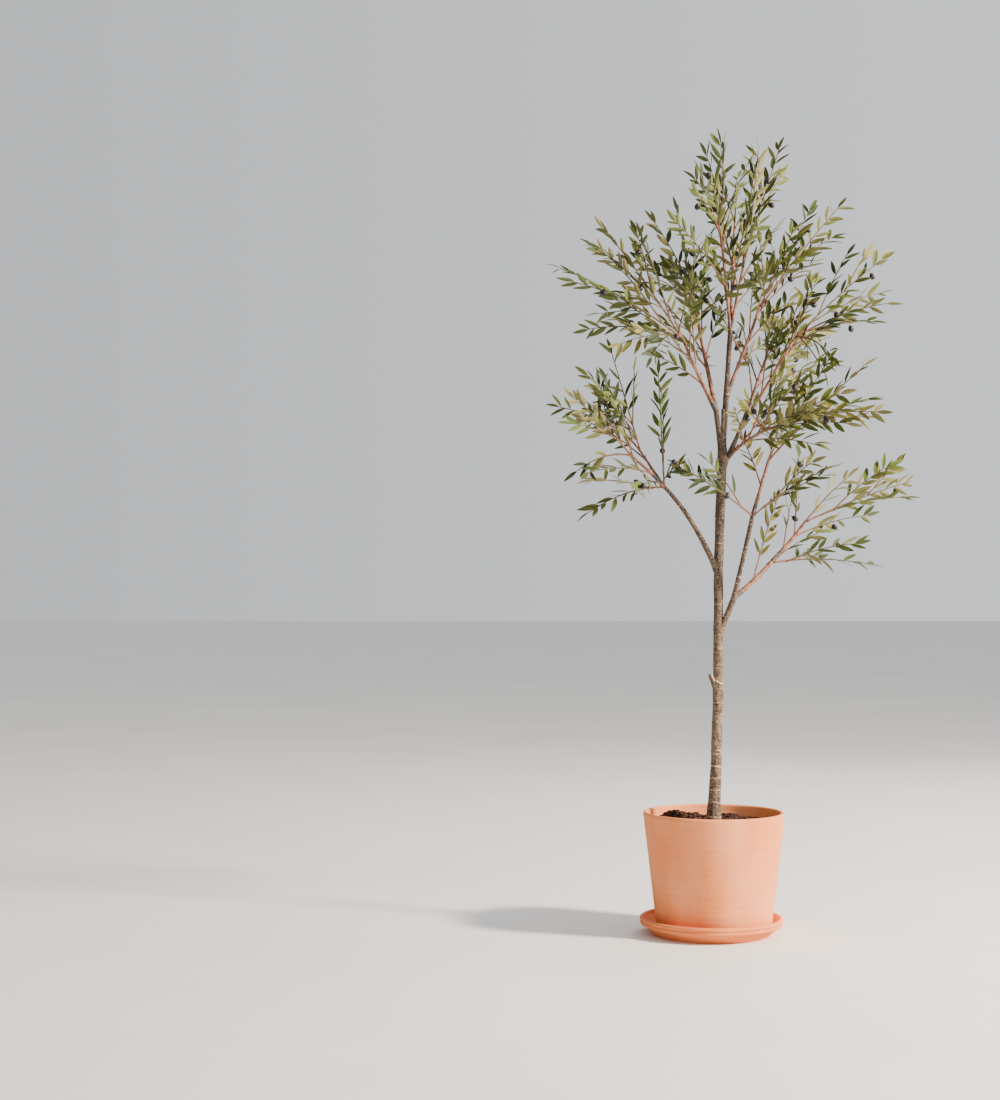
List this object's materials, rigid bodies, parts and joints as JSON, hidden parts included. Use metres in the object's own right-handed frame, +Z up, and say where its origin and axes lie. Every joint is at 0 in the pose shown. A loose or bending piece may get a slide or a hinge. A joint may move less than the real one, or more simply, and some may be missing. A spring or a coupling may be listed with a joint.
{
  "type": "potted artificial olive tree",
  "caption": "Potted artificial olive tree: a slim leaning trunk, an open crown of narrow leaves with black olives, and a tapered terracotta pot in its saucer.",
  "frame": {"origin": "on the flat underside of the saucer, below the axis of the pot", "axes": "+Z up along the tree, +X to the right in the front view, +Y away from the front"},
  "size_m": [0.8742, 0.7058, 1.8055],
  "materials": {
    "terracotta": "unglazed, pale salmon with a chalky bloom",
    "saucer_clay": "unglazed, orange clay",
    "soil": "dark crumbly peat",
    "bark": "moulded grey-brown bark with pale rings",
    "stem": "orange-brown moulded stems",
    "leaves": "olive green with paler undersides, satin"
  },
  "bodies": {
    "root": {"terracotta_saucer": "saucer_clay", "terracotta_pot": "terracotta", "potting_soil": "soil", "trunk": "bark", "bough_leader": "bark", "bough_left_fork": "bark", "stub_fork": "bark", "bough_right_fork": "bark", "bough_left_low": "bark", "bough_right_low": "bark", "bough_right_rise": "bark", "bough_leader_side": "stem", "bough_left_inner": "stem", "bough_left_upper": "stem", "bough_right_out": "stem", "stem_left_low_long": "stem", "stem_left_low_short": "stem", "stem_right_back": "stem", "stem_right_front": "stem", "stem_right_middle": "stem", "stem_right_out": "stem", "stem_right_rise": "stem", "stem_top_back": "stem", "stem_top_left": "stem", "stem_top_right": "stem", "leaves_cross_front": "leaves", "leaves_cross_left": "leaves", "leaves_inner_left_back": "leaves", "leaves_inner_left_rise": "leaves", "leaves_left_back": "leaves", "leaves_left_low_crown": "leaves", "leaves_left_low_drift": "leaves", "leaves_left_low_front": "leaves", "leaves_left_low_rise": "leaves", "leaves_left_low_wing": "leaves", "leaves_left_mid_rise": "leaves", "leaves_right_back_rise": "leaves", "leaves_right_back_wing": "leaves", "leaves_right_front_left": "leaves", "leaves_right_front_low": "leaves", "leaves_right_front_rise": "leaves", "leaves_right_low_crown": "leaves", "leaves_right_low_reach": "leaves", "leaves_right_low_skirt": "leaves", "leaves_right_low_wing": "leaves", "leaves_right_mid_front": "leaves", "leaves_right_reach": "leaves", "leaves_right_top_rise": "leaves", "leaves_right_top_wing": "leaves", "leaves_right_wing": "leaves", "leaves_top": "leaves", "leaves_top_back": "leaves", "leaves_top_left": "leaves", "leaves_top_right": "leaves", "leaves_upper_left_front": "leaves", "leaves_upper_left_low": "leaves", "leaves_upper_left_rise": "leaves", "leaves_upper_left_wing": "leaves"}
  },
  "joints": []
}
